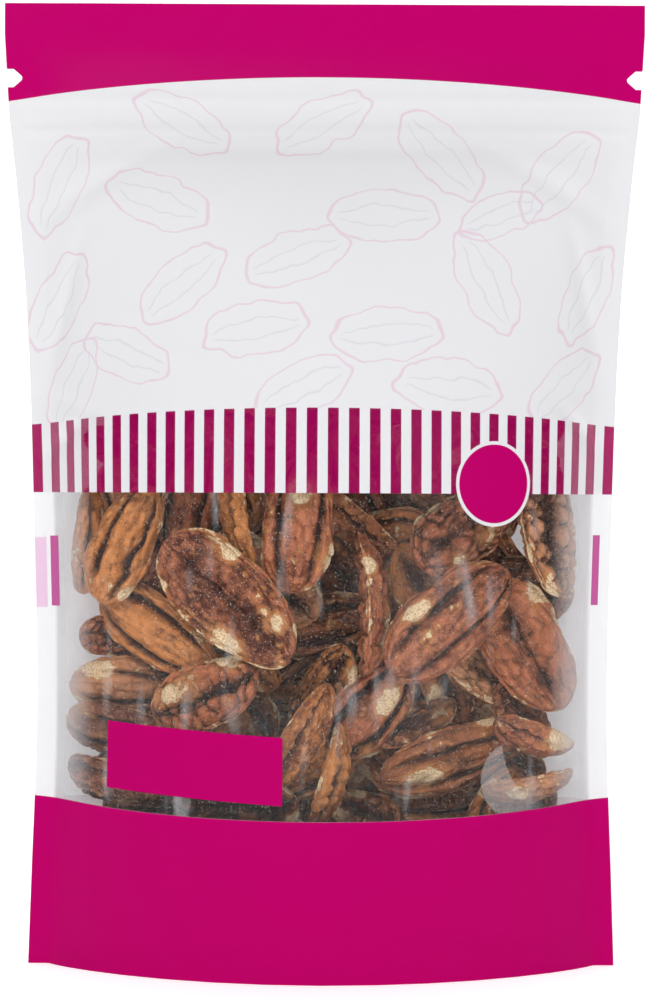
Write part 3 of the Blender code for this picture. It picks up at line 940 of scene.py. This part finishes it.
def kernel_object(name, pose, steps, patches, chance):
    """A kernel in place, with its numbers stored for the shader."""
    middle, turn, size = pose
    mesh, sphere = unit_sphere(steps)
    points, groove, rim, bare, coat = kernel_shape(sphere, size, patches, chance)
    points = points - (points.max(axis=0) + points.min(axis=0)) / 2
    for vertex, place in zip(mesh.verts, points @ turn.T + middle):
        vertex.co = place
    bmesh.ops.recalc_face_normals(mesh, faces=mesh.faces)
    kernel = mesh_object(name, mesh)
    attributes = kernel.data.attributes
    tone = np.full(len(rim), chance.random())
    for label, values in (("groove", groove), ("rim", rim), ("bare", bare), ("tone", tone)):
        attributes.new(label, "FLOAT", "POINT").data.foreach_set("value", values.astype(np.float32))
    layer = attributes.new("coat", "FLOAT_VECTOR", "POINT")
    layer.data.foreach_set("vector", coat.astype(np.float32).ravel())
    return kernel


BARE_COUNTS = "3635523442342332441332442232422322233"  # patches on each half that shows, in the nodes' order
chance = random.Random(11)
kernels = {}
for number, node in enumerate(kernel_nodes):
    shown = number < len(BARE_COUNTS)
    patches = int(BARE_COUNTS[number]) if shown else chance.choice((1, 2, 3))
    steps = FINE if shown else COARSE
    kernels[node] = kernel_object(node.replace("pecan_half", "kernel"), poses[node], steps, patches, chance)
print("shaped", len(kernels), "kernels")

# %% [markdown]
# A pouch of this size holds about ninety halves, and the construction model has room for fewer nodes than
# that. Its halves fill the front and the foot, and between them the view would go right through the pouch.
# So rays are sent through the window from in front, and where a ray meets no kernel, one more is laid: a
# turn is drawn at random, and the kernel is moved in from the back film until it touches nothing. A
# rigid-body drop would pack them tighter, but it takes minutes, and nothing would keep it the same on
# another machine.

# %% Lay more kernels where a gap shows
SPARE_TRIES, SPARE_LIMIT = 3600, 68
SPARE_LENGTHS = (19, 31)  # mm
CLEARANCE = 0.6 * MM  # from a spare to a film
SPARE_STEP, SPARE_STEPS = 1.2 * MM, 20
FOREMOST_SPARE = 2.0 * MM  # no spare lies further forward, where it would hide the halves of the front layer
GIVE = 0.74  # kernels are tested at this share of their size, since real ones nest in each other's grooves
NEIGHBOURHOOD = 40 * MM  # only kernels nearer than this are tested against each other
rough_mesh, ROUGH_SPHERE = unit_sphere((12, 7))
ROUGH_FACES = [[v.index for v in face.verts] for face in rough_mesh.faces]
rough_mesh.free()


def rough_egg(size, turn):
    """The smooth egg of a half about its middle, on a coarse sphere."""
    along, side, up = ROUGH_SPHERE.T
    length, width, thick = size
    outline = 1 - EGG_TAPER * along
    z = outline * np.where(up > 0, 0.70, 0.30) * up * thick - EGG_BEND * length * along**2
    points = np.column_stack([along * length / 2, outline * side * width / 2, z])
    return (points - (points.max(axis=0) + points.min(axis=0)) / 2) @ turn.T


def tree_of(points):
    return BVHTree.FromPolygons([Vector(p) for p in points], ROUGH_FACES)


ROOM_STEPS = np.arange(-72.0, 73.0, 1.0) * MM
room = {
    side: np.array([np.interp(ROOM_STEPS, row[:, 0], abs(row[:, 1])) for row in net])
    for side, net in ((-1, front_net), (1, back_net))
}


def room_at(side, places):
    """How far the film on one side stands from the middle of the pouch at each place."""
    rows = np.clip(np.searchsorted(heights, places[:, 2]), 0, ROWS)
    columns = np.clip(np.searchsorted(ROOM_STEPS, places[:, 0]), 0, len(ROOM_STEPS) - 1)
    return room[side][rows, columns]


def inside_pouch(points):
    front, back = room_at(-1, points), room_at(1, points)
    return bool(np.all((points[:, 1] > CLEARANCE - front) & (points[:, 1] < back - CLEARANCE)))


filled = [(middle, tree_of(rough_egg(size * GIVE, turn) + middle)) for middle, turn, size in poses.values()]
eye = Vector((0.0, -CAMERA_DISTANCE, CAMERA_HEIGHT))
gaps = [Vector((x * MM, 0.0, z * MM)) for x in np.arange(-51, 52, 2.0) for z in np.arange(34, 124, 2.0)]


def still_open(target, tree):
    return tree.ray_cast(eye, target - eye)[0] is None


for _, tree in filled:
    gaps = [gap for gap in gaps if still_open(gap, tree)]
print(len(gaps), "sight lines go right through the pouch")

spares = []
chance = random.Random(23)
for _ in range(SPARE_TRIES):
    if len(spares) == SPARE_LIMIT or not gaps:
        break
    target = chance.choice(gaps)
    length = chance.uniform(*SPARE_LENGTHS) * MM
    size = np.array([length, length * 0.56, length * 0.29])
    lean = Matrix.Rotation(chance.gauss(0, 0.35), 3, "X") @ Matrix.Rotation(chance.gauss(0, 0.3), 3, "Z")
    facing = Matrix.Rotation(math.radians(chance.choice((-90, 90))), 3, "X")
    turn = np.array(lean @ Matrix.Rotation(chance.uniform(0, math.tau), 3, "Y") @ facing)
    egg, tight_egg = rough_egg(size, turn), rough_egg(size * GIVE, turn)
    start = room_at(1, np.array([target]))[0] - size[2] / 2
    for step in range(SPARE_STEPS):
        depth = start - step * SPARE_STEP
        middle = np.array(eye.lerp(target, (depth - eye.y) / (target.y - eye.y)))
        if depth < FOREMOST_SPARE:
            break
        if not inside_pouch(egg + middle):
            continue
        tree = tree_of(tight_egg + middle)
        near = (other for spot, other in filled if np.linalg.norm(spot - middle) < NEIGHBOURHOOD)
        if not any(tree.overlap(other) for other in near):
            filled.append((middle, tree))
            gaps = [gap for gap in gaps if still_open(gap, tree)]
            name = f"spare_kernel_{len(spares) + 1:02d}"
            patches = chance.choice((0, 1, 2, 3))
            spares.append(kernel_object(name, (middle, turn, size), COARSE, patches, chance))
            break
print("laid", len(spares), "more kernels;", len(gaps), "sight lines are left open")

# %% [markdown]
# ## The skin of a kernel
#
# A kernel's skin runs from orange tan to red brown, with a dull oily shine. Its grooves are painted darker,
# partly as the skin's own deeper brown and partly as painted shade, and towards the rim it is painted
# lighter as painted light. Where kernels rub against each other, mostly along the rim, the thin skin flakes
# off and the cream flesh shows; round those places the skin turns orange tan, partly as worn skin and partly
# as a painted highlight on the ridges. A photo texture would fix one look on all of them. Here one group
# makes the colour, the roughness and the height from the stored numbers and a few noises, and four materials
# use it with their own browns.

# %% Group: kernel skin
skin_group, given, result = new_group(
    "kernel skin",
    {
        **{"Place": "Vector", "Coat": "Vector"},
        **{"Groove": 0.0, "Rim": 0.0, "Bare": -1.0, "Tone": 0.5, "Rubbed": 0.5},
        **{"Light skin": "Color", "Dark skin": "Color", "Groove shade and fleck brown": "Color", "Flesh": "Color"},
    },
    {"Colour": "Color", "Roughness": "Float", "Height": "Float"},
)
place, depth = given["Place"], given["Groove"]
blotches = noise_at(place, 130.0, 3.0)
mottle = noise_at(place, 620.0, 4.0, 0.6)
grains = noise_at(place, 2400.0, 3.0, 0.6)
streaks = noise_at(scaled(given["Coat"], (110.0, 1100.0, 1.0)), 1.0, 3.0, 0.6)
uneven = mottle - 0.5
shade = given["Tone"] * 0.5 + blotches * 0.8 + uneven * 0.8 + (streaks - 0.5) * 0.9
# painted shade darkens the grooves, and painted light lightens the skin towards the rim
shade = shade + depth * 0.45 - given["Rim"] * 0.15
skin = mix(soft_step(shade, 0.4, 1.0), given["Light skin"], given["Dark skin"])
skin = mix(soft_step(mottle, 0.60, 0.72, 0.0, 0.35), skin, given["Groove shade and fleck brown"])
skin = mix(soft_step(grains, 0.60, 0.70, 0.0, 0.35), skin, given["Flesh"])
# the grooves go to a deep brown: partly the skin's own colour, partly painted shade
skin = mix(calc("MULTIPLY", depth, 0.95, clamp=True), skin, given["Groove shade and fleck brown"])
rubbed = noise_at(place, 260.0, 3.0, 0.55) + given["Rim"] * 0.17 + given["Rubbed"] * 0.1 - 0.72
wear = most(given["Bare"] + uneven * 0.9, rubbed * 4.0 - depth)
bare = soft_step(wear, 0.02, 0.12)
# orange tan round the rubbed places and near the rim: partly worn skin, partly a painted highlight on the
# ridges
frayed_and_highlit = soft_step(wear, -0.45, 0.05, 0.0, 0.75)
flesh = mix(soft_step(grains, 0.40, 0.70), given["Flesh"], web("c9996c"))
feed(result["Colour"], mix(bare, mix(frayed_and_highlit, skin, web("d08c50")), flesh))
feed(result["Roughness"], mottle * 0.2 + 0.30 + bare * 0.2)
feed(result["Height"], mottle + streaks + grains * 0.4 - bare * 0.4)
print("made the group", skin_group.name)

# %% [markdown]
# The four browns are an orange, a red brown, a pinkish tan and a dark one. The halves that show have
# theirs listed, one letter for each node, so that neighbours differ. The rest are drawn with a fixed seed.

# %% Four skins, and which half wears which
SKINS = {
    "orange_skin": ("e2924e", "793810", 0.70),
    "red_skin": ("ca7850", "5c230e", 0.65),
    "tan_skin": ("da986c", "743a20", 0.60),
    "dark_skin": ("b06a40", "451b0a", 0.60),
}
SKIN_ORDER = "orrrrroorordtrrodtootrtotrrttdorrtord"
# the deep brown of the grooves, partly painted shade, and of the dark flecks
GROOVE_SHADE_AND_FLECK_BROWN, FLESH = web("240c04"), web("ffe6bc")
SKIN_LOOK = {"IOR": 1.45, "Subsurface Weight": 0.06, "Subsurface Radius": (0.0012, 0.0006, 0.0003)}


def skin_material(name, light, dark, rubbed):
    material, tree, shader = new_material(name, SKIN_LOOK)
    values = {
        "Place": object_place(tree),
        "Coat": attribute(tree, "coat", "Vector"),
        "Light skin": web(light),
        "Dark skin": web(dark),
        "Groove shade and fleck brown": GROOVE_SHADE_AND_FLECK_BROWN,
        "Flesh": FLESH,
        "Rubbed": rubbed,
    }
    values |= {label.capitalize(): attribute(tree, label) for label in ("groove", "rim", "bare", "tone")}
    skin = use_group(tree, skin_group, values)
    feed(shader.inputs["Base Color"], skin["Colour"])
    feed(shader.inputs["Roughness"], skin["Roughness"])
    feed(shader.inputs["Normal"], bump(skin["Height"], 0.8, 0.9 * MM))
    return material


skins = {name[0]: skin_material(name, *values) for name, values in SKINS.items()}
chance = random.Random(5)
unlisted = len(kernels) + len(spares) - len(SKIN_ORDER)
letters = SKIN_ORDER + "".join(chance.choices("ortd", weights=(4, 4, 3, 2), k=unlisted))
for kernel, letter in zip((*kernels.values(), *spares), letters):
    kernel.data.materials.append(skins[letter])
print("made", len(skins), "skins")

# %% [markdown]
# ## Crumbs on the window
#
# Shelled nuts shed dust and tiny flakes, and the charge on the film holds them against the inside of the
# window. Placing thousands by hand is hopeless, and this is what Geometry Nodes are for: points are strewn
# over a copy of the window's inner side, a little chip is put on each with a random turn and size, and all
# of it is made real.

# %% Strew the crumbs
CRUMB_SPACE = 0.10 * MM  # between the film's inner side and the middle of a crumb


def window_sheet():
    """The part of the front net behind the window, moved just inside the film."""
    rows = (heights > 36 * MM) & (heights < STRIPES_FOOT * MM)
    net = front_net[rows][:, 12:-12].copy()
    net[..., 1] += FILM + CRUMB_SPACE
    return grid_object("crumbs", net, False)


def crumb_tree(material):
    """Geometry nodes that strew grains over a surface."""
    tree = bpy.data.node_groups.new("strew crumbs", "GeometryNodeTree")
    face = tree.interface
    face.new_socket(name="Surface", in_out="INPUT", socket_type="NodeSocketGeometry")
    settings = {"Crumbs per square metre": 1300000.0, "Smallest": 0.05 * MM, "Largest": 0.17 * MM}
    for label, value in settings.items():
        face.new_socket(name=label, in_out="INPUT", socket_type="NodeSocketFloat").default_value = value
    face.new_socket(name="Seed", in_out="INPUT", socket_type="NodeSocketInt").default_value = 5
    face.new_socket(name="Crumbs", in_out="OUTPUT", socket_type="NodeSocketGeometry")
    given = tree.nodes.new("NodeGroupInput").outputs
    given = {name: Wire(tree, given[name]) for name in ("Surface", *settings, "Seed")}
    values = {"Mesh": given["Surface"], "Density": given["Crumbs per square metre"], "Seed": given["Seed"]}
    points = fed_node(tree, "GeometryNodeDistributePointsOnFaces", values, "Points")
    grain = fed_node(tree, "GeometryNodeMeshCube", {}, "Mesh")
    values = {2: given["Smallest"], 3: given["Largest"], "Seed": given["Seed"]}
    size = fed_node(tree, "FunctionNodeRandomValue", values, 1)
    squash, spin = (
        fed_node(tree, "FunctionNodeRandomValue", {0: (low,) * 3, 1: (high,) * 3}, data_type="FLOAT_VECTOR")
        for low, high in ((0.6, 1.0), (0.0, math.tau))
    )
    scale = fed_node(tree, "ShaderNodeVectorMath", {0: squash, "Scale": size}, operation="SCALE")
    values = {"Points": points, "Instance": grain, "Rotation": spin, "Scale": scale}
    placed = fed_node(tree, "GeometryNodeInstanceOnPoints", values)
    real = fed_node(tree, "GeometryNodeRealizeInstances", {0: placed})
    painted = fed_node(tree, "GeometryNodeSetMaterial", {"Geometry": real, "Material": material})
    feed(tree.nodes.new("NodeGroupOutput").inputs["Crumbs"], painted)
    return tree


crumb_material, tree, shader = new_material("crumb", {"Roughness": 0.75})
tint = soft_step(noise_at(object_place(tree), 900.0, 1.0), 0.4, 0.55)
feed(shader.inputs["Base Color"], mix(tint, web("bd875a"), web("f8e6c8")))
crumbs = window_sheet()
strew = crumbs.modifiers.new("strew", "NODES")
strew.node_group = crumb_tree(crumb_material)
crumbs = applied(crumbs)
print("strewed", len(crumbs.data.polygons) // 6, "crumbs")

# %% [markdown]
# ## Putting it together
#
# Every piece now stands for its node and rides on the pouch. The pouch has no joints, so there is one body.

# %% Tie the pieces to the construction model
PIECE_OF = {"front_panel": front_film, "back_panel": back_film, "bottom_gusset": gusset_film, **kernels}
for node, piece in PIECE_OF.items():
    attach(piece, "root")
    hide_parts(node)
for piece in (crumbs, *spares):
    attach(piece, "root")
print("tied", len(PIECE_OF) + 1 + len(spares), "pieces to the construction model")

# %% [markdown]
# ## Floor and light
#
# The pouch stands on a white sweep, a floor that bends up into a wall, so no horizon shows. A wide soft
# light above and a little to the left models the bulge, a weaker one on the right fills it, and a white
# world stands in for the bounce of a bright studio.

# %% Floor and light
SWEEP_FRONT, SWEEP_REACH, SWEEP_BEND, SWEEP_TOP, SWEEP_HALF = -4.0, 0.9, 0.45, 2.4, 3.0
BEND_STEPS = 12
POUCH_MIDDLE = Vector((0.0, 0.0, 0.1))


def sweep():
    profile = [(SWEEP_FRONT, 0.0), (SWEEP_REACH, 0.0)]
    for step in range(1, BEND_STEPS + 1):
        turn = math.radians(90.0 * step / BEND_STEPS)
        profile.append((SWEEP_REACH + SWEEP_BEND * math.sin(turn), SWEEP_BEND * (1 - math.cos(turn))))
    profile.append((SWEEP_REACH + SWEEP_BEND, SWEEP_TOP))
    mesh = bmesh.new()
    rows = [[mesh.verts.new((x, y, z)) for y, z in profile] for x in (SWEEP_HALF, -SWEEP_HALF)]
    for j in range(len(profile) - 1):
        mesh.faces.new((rows[0][j], rows[0][j + 1], rows[1][j + 1], rows[1][j]))
    return mesh_object("studio_sweep", mesh)


def soft_light(name, place, size, power):
    data = bpy.data.lights.new(name, "AREA")
    data.shape = "RECTANGLE"
    data.size, data.size_y = size
    data.energy = power
    light = add_object(name, data)
    light.location = place
    light.rotation_euler = (POUCH_MIDDLE - Vector(place)).to_track_quat("-Z", "Y").to_euler()


floor = sweep()
white = (1.0, 1.0, 1.0, 1.0)
floor_look = {"Base Color": (0.9, 0.9, 0.9, 1.0), "Roughness": 0.9}
floor_look |= {"Emission Color": white, "Emission Strength": 0.52}
floor.data.materials.append(new_material("studio_white", floor_look)[0])
soft_light("key", (-0.24, -1.0, 0.80), (0.4, 0.4), 5.9)
soft_light("fill", (0.70, -0.90, 0.40), (0.6, 0.9), 1.6)
soft_light("top", (0.0, 0.25, 1.1), (0.9, 0.9), 3.5)
world = bpy.data.worlds.new("studio")
world.use_nodes = True
background = world.node_tree.nodes["Background"]
background.inputs["Color"].default_value = white
background.inputs["Strength"].default_value = 0.24
bpy.context.scene.world = world
print("lit the pouch with three soft lights")
